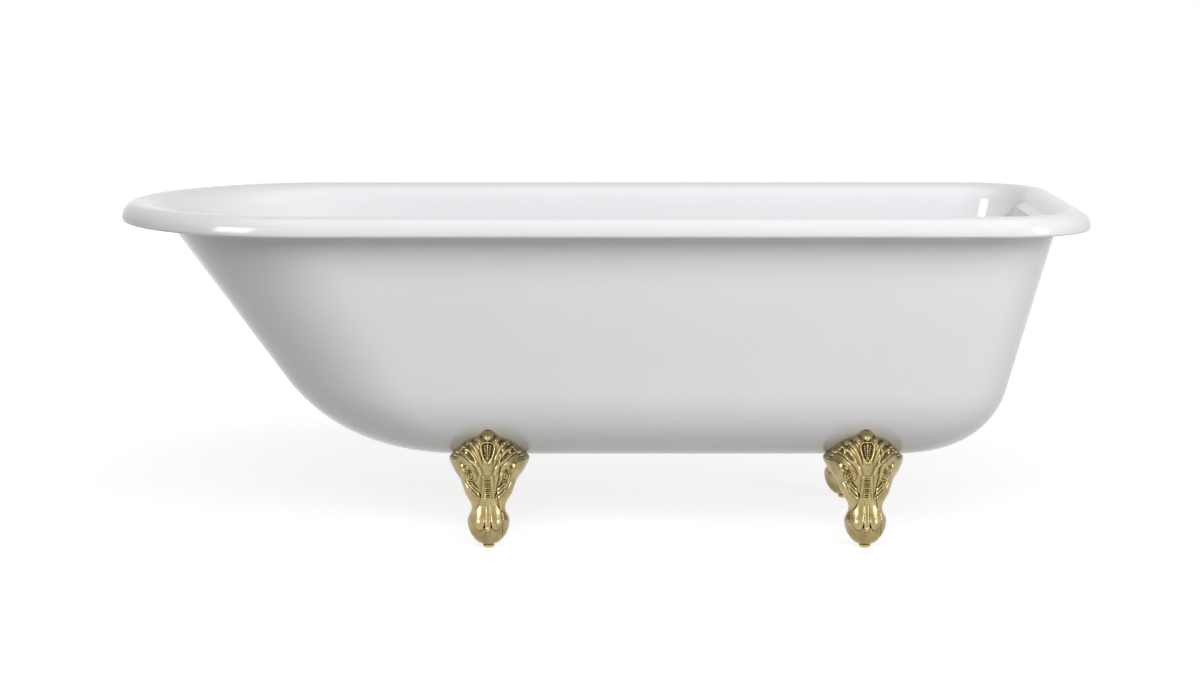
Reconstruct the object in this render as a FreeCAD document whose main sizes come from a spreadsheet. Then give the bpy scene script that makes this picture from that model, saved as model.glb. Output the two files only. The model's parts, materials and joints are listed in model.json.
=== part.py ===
"""Roll-top bathtub on four ball-and-claw feet: one cast bath, brass feet, fixings and levelling glides.

Frame: +X runs from the sloping head end to the upright tap end, +Z is up, the floor is z = 0,
and the origin is the middle of the bath's length and width at the floor.  Sizes in millimetres.
"""
import FreeCAD, Part
import math
import os
import Sketcher

Vector = FreeCAD.Vector
Rotation = FreeCAD.Rotation

# ---------------------------------------------------------------- driving sizes
SIZES = [
    # the bath as a whole
    ("overall_length", 1829.0), ("overall_width", 762.0), ("rim_height", 635.0),
    ("underside_height", 155.0), ("wall_gauge", 7.0),
    # rolled rim: drop from crest to the widest line, curl below it, crest set in from the edge
    ("rim_drop", 31.0), ("rim_curl", 5.0), ("curl_return", 6.0),
    ("crest_inset", 30.0), ("crest_flat", 4.0), ("rim_corner_radius", 175.0),
    # outside wall: how far it stands in from the rim edge, its slope and its bottom bend
    ("head_overhang", 87.0), ("side_overhang", 64.0), ("tap_overhang", 64.0),
    ("head_slope", 36.0), ("side_slope", 10.0), ("tap_slope", 14.5),
    ("head_bend", 340.0), ("side_bend", 170.0), ("tap_bend", 180.0),
    ("roll_height", 40.0), ("bottom_corner_radius", 60.0),
    # waste and overflow
    ("waste_from_tap_edge", 390.0), ("waste_radius", 26.0), ("waste_seat_radius", 40.0),
    ("waste_seat_depth", 3.0), ("waste_boss_drop", 7.0),
    ("overflow_drop", 115.0), ("overflow_radius", 30.0),
    ("overflow_pad_radius", 48.0), ("overflow_pad_rise", 5.0),
    # feet: the levelling screws' axes
    ("head_foot_from_middle", 205.0), ("tap_foot_from_middle", 502.0), ("foot_from_centreline", 232.0),
    ("foot_gap", 0.3), ("foot_wall", 8.0), ("ball_radius", 34.0), ("ball_height", 40.0), ("ball_flat_height", 7.3),
    # fixing of each foot to the lug cast under the bath
    ("lug_from_centreline", 140.0), ("lug_radius", 18.0), ("lug_face_height", 146.0), ("lug_room", 50.0),
    ("flange_thickness", 10.0), ("flange_half_width", 24.0), ("flange_reach", 22.0),
    ("stud_radius", 6.0), ("stud_bottom_height", 118.0), ("stud_hole_depth", 12.0),
    ("thread_clearance", 0.05), ("stud_chamfer", 1.0),
    ("washer_radius", 14.0), ("washer_thickness", 2.8), ("washer_clearance", 0.5),
    ("nut_across_flats", 19.0), ("nut_thickness", 10.0),
    # levelling screw and glide
    ("glide_radius", 11.0), ("glide_height", 7.0), ("glide_edge", 2.0),
    ("glide_ledge", 4.3), ("screw_radius", 5.0), ("screw_top_height", 36.0),
    ("screw_bore_depth", 32.0), ("running_clearance", 0.08), ("free_clearance", 0.3),
    ("collar_radius", 7.5), ("collar_thickness", 2.0), ("spigot_radius", 3.5),
    ("rivet_radius", 4.3), ("rivet_thickness", 0.8), ("rivet_lift", 0.7),
]

# Stations of the cast leg above the floor: half width across, reach of its front outwards from the
# screw axis, place of its widest line and reach of its back, both measured inwards.
LEG = [
    ("sole", 60.0, 26.0, 22.0, 0.0, 22.0),
    ("ankle", 77.0, 30.0, 24.0, 0.0, 26.0),
    ("shank", 90.0, 34.0, 25.0, 2.0, 36.0),
    ("calf", 102.0, 41.0, 26.0, 6.0, 48.0),
    ("hock", 114.0, 47.0, 29.0, 12.0, 62.0),
    ("spread", 127.0, 55.0, 32.0, 25.0, 78.0),
    ("wing", 140.0, 69.0, 34.0, 45.0, 96.0),
    ("ear", 154.0, 76.0, 36.0, 62.0, 114.0),
    ("knee", 170.0, 68.0, 36.0, 62.0, 116.0),
    ("shoulder", 188.0, 58.0, 33.0, 36.0, 100.0),
    ("brow", 204.0, 42.0, 25.0, 18.0, 80.0),
    ("cap", 216.0, 25.0, 14.0, 6.0, 60.0),
    ("crown", 224.0, 8.0, 4.0, 2.0, 40.0),
]
LEG_PARTS = ("height", "half_width", "front", "widest", "back")
for station in LEG:
    SIZES += [(station[0] + "_" + part, value) for part, value in zip(LEG_PARTS, station[1:])]

# Stations of a toe down the ball: degrees above the ball's middle, place of its centre line
# from the ball's middle and its own radius.
TOE = [
    ("root", 72.0, 27.0, 10.0),
    ("instep", 48.0, 29.0, 9.5),
    ("knuckle", 26.0, 29.0, 10.0),
    ("joint", 6.0, 30.5, 8.0),
    ("quick", -12.0, 31.5, 6.5),
    ("claw", -30.0, 33.5, 2.2),
]
for station in TOE:
    SIZES += [(station[0] + "_" + part, value) for part, value in zip(("angle", "track", "girth"), station[1:])]
TOE_BEARINGS = (0.0, 62.0, -62.0, 180.0)
HOLLOW = ("calf", "hock", "spread", "wing", "ear", "knee", "shoulder", "brow")

doc = FreeCAD.newDocument("ClawfootBath")
sheet = doc.addObject("Spreadsheet::Sheet", "Sizes")
for row, (alias, value) in enumerate(SIZES, start=1):
    sheet.set("A%d" % row, alias.replace("_", " "))
    sheet.set("B%d" % row, repr(value))
    sheet.setAlias("B%d" % row, alias)
doc.recompute()


def size(alias):
    return float(sheet.get(alias))


def add_shape(label, shape, placement=None):
    """Put a finished solid into the document under its own label."""
    feature = doc.addObject("Part::Feature", label)
    feature.Label = label
    feature.Shape = shape
    if placement is not None:
        feature.Placement = placement
    return feature


# ---------------------------------------------------------------- outlines of the bath
HALF_LENGTH = size("overall_length") / 2
HALF_WIDTH = size("overall_width") / 2
RIM_TOP = size("rim_height")
LIP = RIM_TOP - size("rim_drop")
WALL_TOP = LIP - size("rim_curl")
GAUGE = size("wall_gauge")
FLOOR_UNDER = size("underside_height")
CREST_OUTER = size("crest_inset") - size("crest_flat") / 2
CREST_INNER = size("crest_inset") + size("crest_flat") / 2
BEND_STEPS, ROLL_STEPS = 6, 4


def outline(x_head, x_tap, half_width, corner, height):
    """Closed plan outline: half round at the head, straight sides, rounded corners at the taps."""
    x_round = x_head + half_width
    lean = math.sqrt(0.5)

    def corner_point(side, turn):
        """Point of a tap corner: turn 0 on the long side, 1 on the end."""
        angle = math.radians(90 * (1 - turn))
        return Vector(x_tap - corner + corner * math.cos(angle),
                      side * (half_width - corner + corner * math.sin(angle)), height)

    near_side, near_mid, near_end = [corner_point(-1, turn) for turn in (0, 0.5, 1)]
    far_side, far_mid, far_end = [corner_point(1, turn) for turn in (0, 0.5, 1)]
    near_start = Vector(x_round, -half_width, height)
    far_start = Vector(x_round, half_width, height)
    tip = Vector(x_head, 0, height)
    far_bow = Vector(x_round - half_width * lean, half_width * lean, height)
    near_bow = Vector(x_round - half_width * lean, -half_width * lean, height)
    edges = [
        Part.LineSegment(near_start, near_side),
        Part.Arc(near_side, near_mid, near_end),
        Part.LineSegment(near_end, far_end),
        Part.Arc(far_end, far_mid, far_side),
        Part.LineSegment(far_side, far_start),
        Part.Arc(far_start, far_bow, tip),
        Part.Arc(tip, near_bow, near_start),
    ]
    return Part.Wire([edge.toShape() for edge in edges])


def rim_outline(inset, height):
    """Outline that runs a fixed distance inside the edge of the rim."""
    return outline(-HALF_LENGTH + inset, HALF_LENGTH - inset, HALF_WIDTH - inset,
                   size("rim_corner_radius") - inset, height)


def wall_reach(end, height, depth):
    """How far the wall stands out at a height, for the head, side or tap profile.

    depth is measured into the metal: 0 on the outside, the gauge on the inside.
    """
    edge = HALF_WIDTH if end == "side" else HALF_LENGTH
    top_reach = edge - size(end + "_overhang")
    slope = math.radians(size(end + "_slope"))
    bend = size(end + "_bend")
    foot_of_wall = top_reach - (WALL_TOP - FLOOR_UNDER) * math.tan(slope)
    bend_centre = foot_of_wall - bend * math.tan(math.pi / 4 - slope / 2)
    bend_height = FLOOR_UNDER + bend
    bend_radius = bend - depth
    if height >= bend_height - bend_radius * math.sin(slope):
        return top_reach - (WALL_TOP - height) * math.tan(slope) - depth / math.cos(slope)
    drop = min(bend_height - height, bend_radius)
    return bend_centre + math.sqrt(bend_radius ** 2 - drop ** 2)


def underside(reach):
    """Height of the bath's underside at a distance from its centreline."""
    bend = size("side_bend")
    past_flat = max(reach - wall_reach("side", FLOOR_UNDER, 0), 0)
    return FLOOR_UNDER + bend - math.sqrt(bend ** 2 - min(past_flat, bend) ** 2)


def wall_corner(half_width):
    """Radius of the tap corners, smaller where the bath is narrower and always within its width."""
    top_corner = size("rim_corner_radius") - size("side_overhang")
    top_half = HALF_WIDTH - size("side_overhang")
    bottom_half = wall_reach("side", FLOOR_UNDER, 0)
    bottom_corner = min(size("bottom_corner_radius"), 0.8 * bottom_half)
    share = (top_half - half_width) / (top_half - bottom_half)
    return top_corner + (bottom_corner - top_corner) * share


def wall_outline(height, depth):
    half_width = wall_reach("side", height, depth)
    return outline(-wall_reach("head", height, depth), wall_reach("tap", height, depth),
                   half_width, wall_corner(half_width), height)


def roll_outline(turn, depth, crest_height):
    """Outline of the inward roll: turn 0 on the wall, 1 on the crest, tangent to both."""
    start = RIM_TOP - size("roll_height")
    height = crest_height - (crest_height - start) * (1 - turn) ** 2
    reaches = {}
    for end in ("head", "side", "tap"):
        edge = HALF_WIDTH if end == "side" else HALF_LENGTH
        low = wall_reach(end, start, depth)
        bend = wall_reach(end, crest_height, depth)
        crest = edge - CREST_INNER
        reaches[end] = (1 - turn) ** 2 * low + 2 * turn * (1 - turn) * bend + turn ** 2 * crest
    low_corner = wall_corner(wall_reach("side", start, depth))
    crest_corner = size("rim_corner_radius") - CREST_INNER
    corner = low_corner + (crest_corner - low_corner) * turn
    return outline(-reaches["head"], reaches["tap"], reaches["side"], corner, height)


def wall_skin(depth, crest_height):
    """Faces of the wall at a depth into the metal, from the floor up to the inside of the crest.

    Returns the faces and the two outlines that bound them.
    """
    bend = size("side_bend") - depth
    slope = math.radians(size("side_slope"))
    floor = FLOOR_UNDER + depth
    angles = [(math.pi / 2 - slope) * step / BEND_STEPS for step in range(BEND_STEPS + 1)]
    bend_lines = [wall_outline(floor + bend * (1 - math.cos(angle)), depth) for angle in angles]
    roll_lines = [roll_outline(step / ROLL_STEPS, depth, crest_height) for step in range(ROLL_STEPS + 1)]
    faces = Part.makeLoft(bend_lines, False, False).Faces
    faces += Part.makeLoft([bend_lines[-1], roll_lines[0]], False, True).Faces
    faces += Part.makeLoft(roll_lines, False, False).Faces
    return faces, bend_lines[0], roll_lines[-1]


def sewn_solid(faces):
    skin = Part.Compound(faces)
    skin.sewShape()
    solid = Part.makeSolid(skin.Shells[0])
    if solid.Volume < 0:
        solid.reverse()
    return solid


def wall_solid(depth):
    """Everything inside the wall's surface at a depth into the metal, up to the crest."""
    faces, floor_line, crest_line = wall_skin(depth, RIM_TOP - GAUGE + max(depth, 0))
    return sewn_solid(faces + [Part.Face(floor_line), Part.Face(crest_line)])


def rim_section(foot, outward):
    """Edges of the hollow rim's section, from under the crest round the lip to the top of the crest.

    foot stands on the rim's edge line, and outward is square to that line.
    """
    wide, tall = CREST_OUTER, size("rim_drop")
    curl, curl_drop = size("curl_return"), size("rim_curl")

    def at(inset, height):
        return Vector(foot.x, foot.y, height) - outward * inset

    def quarter(centre, start, finish):
        """Quarter ellipse about centre, from start to finish."""
        if (start - centre).Length >= (finish - centre).Length:
            return Part.ArcOfEllipse(Part.Ellipse(start, finish, centre), 0, math.pi / 2)
        mirrored = Part.Ellipse(finish, centre * 2 - start, centre)
        return Part.ArcOfEllipse(mirrored, 3 * math.pi / 2, 2 * math.pi)

    centre = at(wide, LIP)
    edges = [
        Part.LineSegment(at(CREST_INNER, RIM_TOP - GAUGE), at(wide, RIM_TOP - GAUGE)),
        quarter(centre, at(wide, RIM_TOP - GAUGE), at(GAUGE, LIP)),
        Part.LineSegment(at(GAUGE, LIP), at(GAUGE, LIP - curl_drop)),
        Part.LineSegment(at(GAUGE, LIP - curl_drop), at(curl, LIP - curl_drop)),
        quarter(at(curl, LIP), at(curl, LIP - curl_drop), at(0, LIP)),
        quarter(centre, at(0, LIP), at(wide, RIM_TOP)),
        Part.LineSegment(at(wide, RIM_TOP), at(CREST_INNER, RIM_TOP)),
    ]
    return [edge.toShape() for edge in edges]


def rim_faces():
    """The rim's section carried along the rim: drawn along the straights, turned round the corners."""
    up = Vector(0, 0, 1)
    faces = []
    for edge in rim_outline(0, LIP).Edges:
        start, end = edge.valueAt(edge.FirstParameter), edge.valueAt(edge.LastParameter)
        if isinstance(edge.Curve, Part.Line):
            run = end - start
            outward = run.cross(up).normalize()
            faces += [piece.extrude(run) for piece in rim_section(start, outward)]
        else:
            centre = edge.Curve.Center
            outward = (start - centre).normalize()
            faces += [piece.revolve(centre, up, 90) for piece in rim_section(start, outward)]
    return faces


# ---------------------------------------------------------------- places that pieces share
TAP_LEAN = math.radians(size("tap_slope"))
WASTE_X = HALF_LENGTH - size("waste_from_tap_edge")
OVERFLOW_Z = RIM_TOP - size("overflow_drop")
OVERFLOW_AXIS = Vector(math.cos(TAP_LEAN), 0, -math.sin(TAP_LEAN))
FEET = {
    "head_front": (-size("head_foot_from_middle"), -1),
    "head_back": (-size("head_foot_from_middle"), 1),
    "tap_front": (size("tap_foot_from_middle"), -1),
    "tap_back": (size("tap_foot_from_middle"), 1),
}
FLANGE_UNDER = size("lug_face_height") - size("flange_thickness")


def foot_placement(corner):
    """Moves a foot's own frame, whose front faces -Y, to its corner of the bath."""
    x, side = FEET[corner]
    turn = 180 if side > 0 else 0
    return FreeCAD.Placement(Vector(x, side * size("foot_from_centreline"), 0),
                             Rotation(Vector(0, 0, 1), turn))


# ---------------------------------------------------------------- cast bath
def tub_shell():
    """Cast wall with its rolled rim, foot lugs, waste seat and overflow pad."""
    outside, outer_floor, _ = wall_skin(0, RIM_TOP - GAUGE)
    inside, inner_floor, _ = wall_skin(GAUGE, RIM_TOP)
    body = sewn_solid(outside + inside + rim_faces() + [Part.Face(outer_floor), Part.Face(inner_floor)])

    bath_room = wall_solid(GAUGE)
    lug_top = underside(size("lug_from_centreline") + size("lug_radius")) + size("lug_room")
    for x, side in FEET.values():
        face = Vector(x, side * size("lug_from_centreline"), size("lug_face_height"))
        lug = Part.makeCylinder(size("lug_radius"), lug_top - face.z, face)
        hole = Part.makeCylinder(size("stud_radius") + size("thread_clearance"), size("stud_hole_depth"), face)
        body = body.fuse(lug.cut(bath_room)).cut(hole)

    middle = Vector(WASTE_X, 0, FLOOR_UNDER)
    drop = Vector(0, 0, size("waste_boss_drop"))
    seat_floor = Vector(0, 0, GAUGE - size("waste_seat_depth"))
    boss = Part.makeCylinder(size("waste_seat_radius") + GAUGE, drop.z + GAUGE / 2, middle - drop)
    waste = Part.makeCylinder(size("waste_radius"), 2 * drop.z + GAUGE, middle - drop * 1.5)
    seat = Part.makeCylinder(size("waste_seat_radius"), GAUGE, middle + seat_floor)
    body = body.fuse(boss).cut(waste).cut(seat)

    centre = Vector(wall_reach("tap", OVERFLOW_Z, 0), 0, OVERFLOW_Z)
    pad_depth = GAUGE / 2 + size("overflow_pad_rise")
    pad = Part.makeCylinder(size("overflow_pad_radius"), pad_depth,
                            centre - OVERFLOW_AXIS * (GAUGE / 2 + pad_depth), OVERFLOW_AXIS)
    overflow = Part.makeCylinder(size("overflow_radius"), 4 * pad_depth,
                                 centre - OVERFLOW_AXIS * 3 * pad_depth, OVERFLOW_AXIS)
    return body.fuse(pad).cut(overflow)


# ---------------------------------------------------------------- ball-and-claw foot
def leg_section(station, wall=0.0, opening=0.0):
    """Closed outline of the leg at one station, in the foot's own frame.

    wall draws the outline in, and opening carries it out past the back.
    """
    height, half_width, front, widest, back = [size(station + "_" + part) for part in LEG_PARTS]
    side, front, back = half_width - wall, front - wall, back + opening
    right, left = Vector(side, widest, height), Vector(-side, widest, height)
    edges = [half_ellipse(right, Vector(0, -front, height), left),
             half_ellipse(left, Vector(0, back, height), right)]
    return Part.Wire(edges)


def half_ellipse(start, tip, end):
    """Half an ellipse from start over tip to end."""
    centre = (start + end) / 2
    if (start - centre).Length >= (tip - centre).Length:
        return Part.ArcOfEllipse(Part.Ellipse(start, tip, centre), 0, math.pi).toShape()
    oval = Part.Ellipse(tip, end, centre)
    return Part.ArcOfEllipse(oval, -math.pi / 2, math.pi / 2).toShape()


def toe(bearing):
    """One toe with its claw, bent down over the ball; bearing 0 faces the front."""
    turn = math.radians(bearing)
    outward = Vector(math.sin(turn), -math.cos(turn), 0)
    up = Vector(0, 0, 1)
    middle = up * size("ball_height")
    rings = []
    for station in TOE:
        angle = math.radians(size(station[0] + "_angle"))
        radial = outward * math.cos(angle) + up * math.sin(angle)
        along = outward * math.sin(angle) - up * math.cos(angle)
        ring = Part.Circle(middle + radial * size(station[0] + "_track"), along, size(station[0] + "_girth"))
        rings.append(Part.Wire([ring.toShape()]))
    return Part.makeLoft(rings, True, True)


def claw_foot(corner, envelope):
    """Cast foot: leg hollowed from behind, ball, toes and bolting flange, let in under the bath."""
    leg = Part.makeLoft([leg_section(station[0]) for station in LEG], True, True)
    ball = Part.makeSphere(size("ball_radius"), Vector(0, 0, size("ball_height")))
    bolt_y = size("foot_from_centreline") - size("lug_from_centreline")
    flange = Part.makeBox(2 * size("flange_half_width"), bolt_y + size("flange_reach"), size("flange_thickness"),
                          Vector(-size("flange_half_width"), 0, FLANGE_UNDER))
    upright = [edge for edge in flange.Edges if abs(edge.tangentAt(edge.FirstParameter).z) > 0.5]
    flange = flange.makeFillet(size("flange_reach") / 2, upright)
    hollow = Part.makeLoft([leg_section(name, size("foot_wall"), size("foot_wall")) for name in HOLLOW],
                           True, True)
    web = Part.makeBox(RIM_TOP, RIM_TOP, size("flange_thickness"),
                       Vector(-RIM_TOP / 2, -RIM_TOP / 2, FLANGE_UNDER))
    foot = leg.cut(hollow.cut(web)).fuse([ball, flange] + [toe(bearing) for bearing in TOE_BEARINGS])

    bolt_hole = Part.makeCylinder(size("stud_radius") + size("washer_clearance"), RIM_TOP, Vector(0, bolt_y, 0))
    screw_bore = Part.makeCylinder(size("screw_radius") + size("running_clearance"), size("screw_bore_depth"),
                                   Vector(0, 0, size("ball_flat_height")))
    under_ball = Part.makeCylinder(size("ball_radius") * 2, size("ball_flat_height"))
    lug_room = Part.makeCylinder(size("lug_radius") + size("foot_gap"), RIM_TOP,
                                 Vector(0, bolt_y, size("lug_face_height") + size("foot_gap")))
    bath = envelope.copy()
    bath.Placement = foot_placement(corner).inverse()
    foot = foot.cut([bolt_hole, screw_bore, under_ball, lug_room, bath])
    return max(foot.Solids, key=lambda solid: solid.Volume)


# ---------------------------------------------------------------- turned pieces
def turned_body(label, vertices, x_cell, y_cell):
    """Body of revolution about its own upright axis.

    vertices are (radius, height) pairs of expressions in the sheet's names.
    """
    body = doc.addObject("PartDesign::Body", label)
    body.Label = label
    sketch = body.newObject("Sketcher::SketchObject", label + "_profile")
    plane = [item for item in body.Origin.OriginFeatures if item.Role == "XZ_Plane"][0]
    sketch.AttachmentSupport = [(plane, "")]
    sketch.MapMode = "FlatFace"
    corners = [Vector(evaluate(radius), evaluate(height), 0) for radius, height in vertices]
    for index, corner in enumerate(corners):
        sketch.addGeometry(Part.LineSegment(corner, corners[(index + 1) % len(corners)]), False)
    for index, (radius, height) in enumerate(vertices):
        before = (index - 1) % len(vertices)
        sketch.addConstraint(Sketcher.Constraint("Coincident", before, 2, index, 1))
        if radius == "0":
            sketch.addConstraint(Sketcher.Constraint("PointOnObject", index, 1, -2))
        else:
            bind(sketch, "DistanceX", index, corners[index].x, radius, "r%d" % index)
        bind(sketch, "DistanceY", index, corners[index].y, height, "z%d" % index)
    doc.recompute()
    turn = body.newObject("PartDesign::Revolution", label + "_turned")
    turn.Profile = sketch
    turn.ReferenceAxis = (sketch, ["V_Axis"])
    turn.Angle = 360.0
    body.Tip = turn
    place(body, x_cell, y_cell)
    return body


def bind(sketch, kind, index, value, expression, name):
    """Dimension from the sketch's origin to a line's start, driven by the sheet."""
    number = sketch.addConstraint(Sketcher.Constraint(kind, -1, 1, index, 1, value))
    sketch.renameConstraint(number, name)
    sketch.setExpression("Constraints." + name, cells(expression))


def cells(expression):
    """Prefix every sheet name in an expression with the sheet."""
    words = expression.split(" ")
    return " ".join("Sizes." + word if word[0].isalpha() else word for word in words)


def evaluate(expression):
    """Value of a sum of sheet names and numbers."""
    total, sign = 0.0, 1.0
    for word in expression.split(" "):
        if word in "+-":
            sign = 1.0 if word == "+" else -1.0
        else:
            total += sign * (size(word) if word[0].isalpha() else float(word))
    return total


def place(item, x_cell, y_cell):
    """Stand a piece on its axis in the bath's plan."""
    item.setExpression("Placement.Base.x", cells(x_cell))
    item.setExpression("Placement.Base.y", cells(y_cell))


def washer_ring(corner, x_cell, y_cell):
    top = "lug_face_height - flange_thickness"
    bottom = top + " - washer_thickness"
    bore = "stud_radius + washer_clearance"
    rim = "washer_radius"
    return turned_body("foot_washer_" + corner,
                       [(bore, bottom), (rim, bottom), (rim, top), (bore, top)], x_cell, y_cell)


def fixing_stud(corner, x_cell, y_cell):
    top = "lug_face_height + stud_hole_depth - free_clearance"
    rim = "stud_radius"
    tip = "stud_radius - stud_chamfer"
    vertices = [("0", "stud_bottom_height"), (tip, "stud_bottom_height"),
                (rim, "stud_bottom_height + stud_chamfer"), (rim, top + " - stud_chamfer"),
                (tip, top), ("0", top)]
    return turned_body("foot_stud_" + corner, vertices, x_cell, y_cell)


def levelling_screw(corner, x_cell, y_cell):
    """Grub screw with a collar and a riveted spigot that turns in the glide."""
    collar = "glide_ledge + free_clearance"
    shank = collar + " + collar_thickness"
    rivet = "rivet_lift + rivet_thickness"
    tip = "screw_radius - stud_chamfer"
    vertices = [("0", "rivet_lift"), ("rivet_radius", "rivet_lift"), ("rivet_radius", rivet),
                ("spigot_radius", rivet), ("spigot_radius", collar), ("collar_radius", collar),
                ("collar_radius", shank), ("screw_radius", shank),
                ("screw_radius", "screw_top_height - stud_chamfer"), (tip, "screw_top_height"),
                ("0", "screw_top_height")]
    return turned_body("levelling_screw_" + corner, vertices, x_cell, y_cell)


def glide_pad(corner, x_cell, y_cell):
    """Round glide that stands on the floor, bored and recessed for the screw's end."""
    bore = "spigot_radius + running_clearance"
    recess = "rivet_radius + free_clearance"
    recess_top = "rivet_lift + rivet_thickness + free_clearance"
    well = "collar_radius + free_clearance"
    inner_edge = "glide_radius - glide_edge"
    vertices = [(recess, "0"), (inner_edge, "0"), ("glide_radius", "glide_edge"),
                ("glide_radius", "glide_height - glide_edge"), (inner_edge, "glide_height"),
                (well, "glide_height"), (well, "glide_ledge"), (bore, "glide_ledge"),
                (bore, recess_top), (recess, recess_top)]
    return turned_body("glide_pad_" + corner, vertices, x_cell, y_cell)


def fixing_nut(corner, x_cell, y_cell):
    """Hexagon nut bored for the stud."""
    label = "foot_nut_" + corner
    prism = doc.addObject("Part::Prism", label + "_hexagon")
    prism.Polygon = 6
    prism.setExpression("Circumradius", "Sizes.nut_across_flats / sqrt(3)")
    prism.setExpression("Height", cells("nut_thickness"))
    bore = doc.addObject("Part::Cylinder", label + "_bore")
    bore.setExpression("Radius", cells("stud_radius + thread_clearance"))
    bore.setExpression("Height", cells("nut_thickness"))
    nut = doc.addObject("Part::Cut", label)
    nut.Label = label
    nut.Base = prism
    nut.Tool = bore
    place(nut, x_cell, y_cell)
    nut.setExpression("Placement.Base.z",
                      cells("lug_face_height - flange_thickness - washer_thickness - nut_thickness"))
    return nut


# ---------------------------------------------------------------- assembly
def build():
    pieces = [add_shape("tub_shell", tub_shell())]
    envelope = wall_solid(-size("foot_gap"))
    for corner, (x, side) in FEET.items():
        pieces.append(add_shape("foot_" + corner, claw_foot(corner, envelope), foot_placement(corner)))
        x_cell = "0 - head_foot_from_middle" if x < 0 else "tap_foot_from_middle"
        sign = "0 - " if side < 0 else ""
        foot_cell = sign + "foot_from_centreline"
        lug_cell = sign + "lug_from_centreline"
        pieces.append(fixing_stud(corner, x_cell, lug_cell))
        pieces.append(washer_ring(corner, x_cell, lug_cell))
        pieces.append(fixing_nut(corner, x_cell, lug_cell))
        pieces.append(levelling_screw(corner, x_cell, foot_cell))
        pieces.append(glide_pad(corner, x_cell, foot_cell))
    doc.recompute()
    return pieces


def export(pieces):
    for item in doc.Objects:
        if "Invalid" in item.State or "Error" in item.State:
            raise RuntimeError("failed object: " + item.Label)
    os.makedirs("parts", exist_ok=True)
    for piece in pieces:
        if piece.Shape.isNull() or not piece.Shape.isValid():
            raise RuntimeError("bad shape: " + piece.Label)
    for piece in pieces:
        piece.Shape.exportStep("parts/" + piece.Label + ".step")
        box = piece.Shape.BoundBox
        print("%-28s solids %d volume %.0f  x %.1f %.1f  y %.1f %.1f  z %.1f %.1f" % (
            piece.Label, len(piece.Shape.Solids), piece.Shape.Volume,
            box.XMin, box.XMax, box.YMin, box.YMax, box.ZMin, box.ZMax))


export(build())
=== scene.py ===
"""Looks of the roll-top bath on ball-and-claw feet: enamelled shell, carved brass feet, studio and camera.

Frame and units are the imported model's: metres, +X towards the upright tap end, +Z up, floor at z = 0.
"""

import json
import math

import bpy
import numpy as np
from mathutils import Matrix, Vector


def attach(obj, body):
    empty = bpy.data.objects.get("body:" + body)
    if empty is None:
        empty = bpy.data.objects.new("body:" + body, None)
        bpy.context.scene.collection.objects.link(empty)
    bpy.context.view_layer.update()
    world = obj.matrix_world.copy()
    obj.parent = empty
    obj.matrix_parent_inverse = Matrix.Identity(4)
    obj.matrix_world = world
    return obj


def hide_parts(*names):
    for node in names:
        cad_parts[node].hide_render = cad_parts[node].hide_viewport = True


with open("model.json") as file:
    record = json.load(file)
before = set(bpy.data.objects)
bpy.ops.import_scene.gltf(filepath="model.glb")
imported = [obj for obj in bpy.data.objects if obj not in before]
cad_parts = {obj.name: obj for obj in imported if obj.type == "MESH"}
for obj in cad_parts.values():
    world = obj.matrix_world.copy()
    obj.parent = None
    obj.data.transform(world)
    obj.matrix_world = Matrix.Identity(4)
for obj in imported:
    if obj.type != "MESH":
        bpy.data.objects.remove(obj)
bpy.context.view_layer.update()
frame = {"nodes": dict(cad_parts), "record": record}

MM = 0.001
RECORD = frame["record"]
SCREW_X = {"head": -0.205, "tap": 0.502}      # axes of the levelling screws along the bath
SCREW_Y = {"front": -0.232, "back": 0.232}    # and across it


# ---------------------------------------------------------------- shape of the bath
HALF_LENGTH, HALF_WIDTH = 0.9145, 0.381
RIM_TOP, LIP, WALL_TOP, FLOOR_UNDER = 0.635, 0.604, 0.599, 0.155
GAUGE = 0.007
CREST_OUTER, CREST_INNER = 0.028, 0.032       # crest of the rim, measured in from its edge
RIM_CORNER, BOTTOM_CORNER = 0.175, 0.060
ROLL_HEIGHT = 0.040
ROLL_START = RIM_TOP - ROLL_HEIGHT
LIP_ROUND, LIP_CHAMFER = 0.006, 0.001         # lower edge of the lip, outside and inside
WALLS = {                                     # slope is from upright, bend is the radius at the bottom
    "head": {"edge": HALF_LENGTH, "overhang": 0.087, "slope": math.radians(36.0), "bend": 0.340},
    "side": {"edge": HALF_WIDTH, "overhang": 0.064, "slope": math.radians(10.0), "bend": 0.170},
    "tap": {"edge": HALF_LENGTH, "overhang": 0.064, "slope": math.radians(14.5), "bend": 0.180},
}

# Points along each stretch of an outline, then outlines along each stretch of the wall's section.
STRAIGHT_STEPS, CORNER_STEPS, END_STEPS, HEAD_STEPS = 40, 28, 72, 96
BEND_STEPS, WALL_STEPS, ROLL_STEPS, RIM_STEPS, LIP_STEPS = 22, 42, 20, 18, 6

# Arched panel inside the tap end: its outline, its relief, and the stretch where it fades out downwards.
PANEL_HALF_WIDTH, PANEL_TOP, PANEL_CORNER = 0.268, 0.613, 0.100
PANEL_RISE, PANEL_BEVEL, PANEL_BEAD, PANEL_BEAD_WIDTH = 0.009, 0.011, 0.003, 0.005
PANEL_FADE_START, PANEL_FADE_HEIGHT = 0.30, 0.12


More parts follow.
